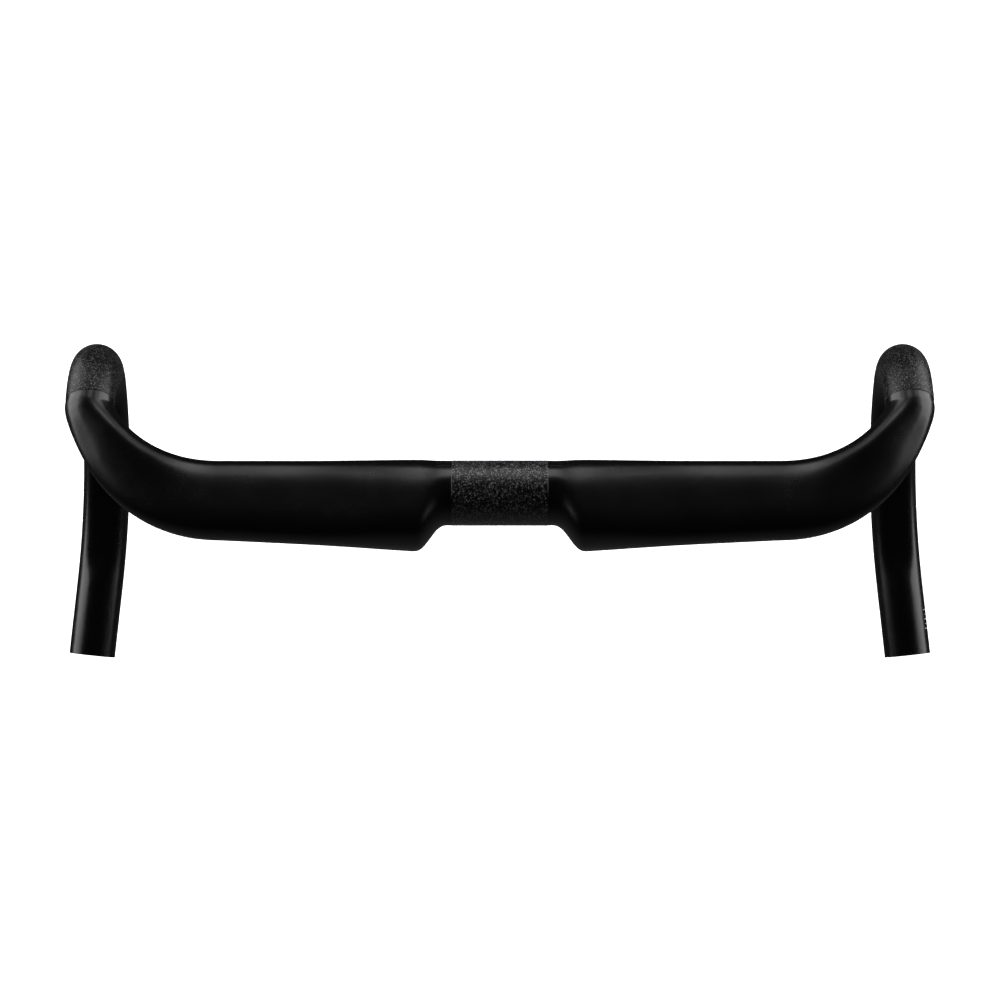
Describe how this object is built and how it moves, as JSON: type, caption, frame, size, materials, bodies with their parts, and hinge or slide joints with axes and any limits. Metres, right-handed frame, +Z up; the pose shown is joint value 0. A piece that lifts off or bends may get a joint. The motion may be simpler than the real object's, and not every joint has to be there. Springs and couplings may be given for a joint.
{
  "type": "drop handlebar",
  "caption": "Bare carbon aero drop handlebar with a flat wing top, round stem clamp, forward ramps, compact hooks and flared D-section drops.",
  "frame": {"origin": "centre of the stem clamp, on the clamp axis", "axes": "+X along the clamp axis towards the rider's right, +Y forward, +Z up"},
  "size_m": [0.444, 0.133, 0.1515],
  "materials": {
    "carbon_skin": "satin black lacquer over carbon fibre",
    "grip_coating": "gritty black friction coating",
    "inner_carbon": "bare carbon fibre, rough",
    "epoxy": "cured structural epoxy",
    "dark_ink": "printed line, flat black",
    "pale_ink": "printed line, pale grey"
  },
  "bodies": {
    "root": {"centre_section": "carbon_skin", "left_drop": "carbon_skin", "right_drop": "carbon_skin", "left_joint_sleeve": "inner_carbon", "right_joint_sleeve": "inner_carbon", "left_bond_film": "epoxy", "right_bond_film": "epoxy", "clamp_reinforcement_ring": "inner_carbon", "left_lever_reinforcement": "inner_carbon", "right_lever_reinforcement": "inner_carbon", "left_end_collar": "inner_carbon", "right_end_collar": "inner_carbon", "stem_clamp_grip_band": "grip_coating", "left_lever_grip_band": "grip_coating", "right_lever_grip_band": "grip_coating", "clamp_alignment_marks": "dark_ink", "right_size_marks": "pale_ink"}
  },
  "joints": []
}
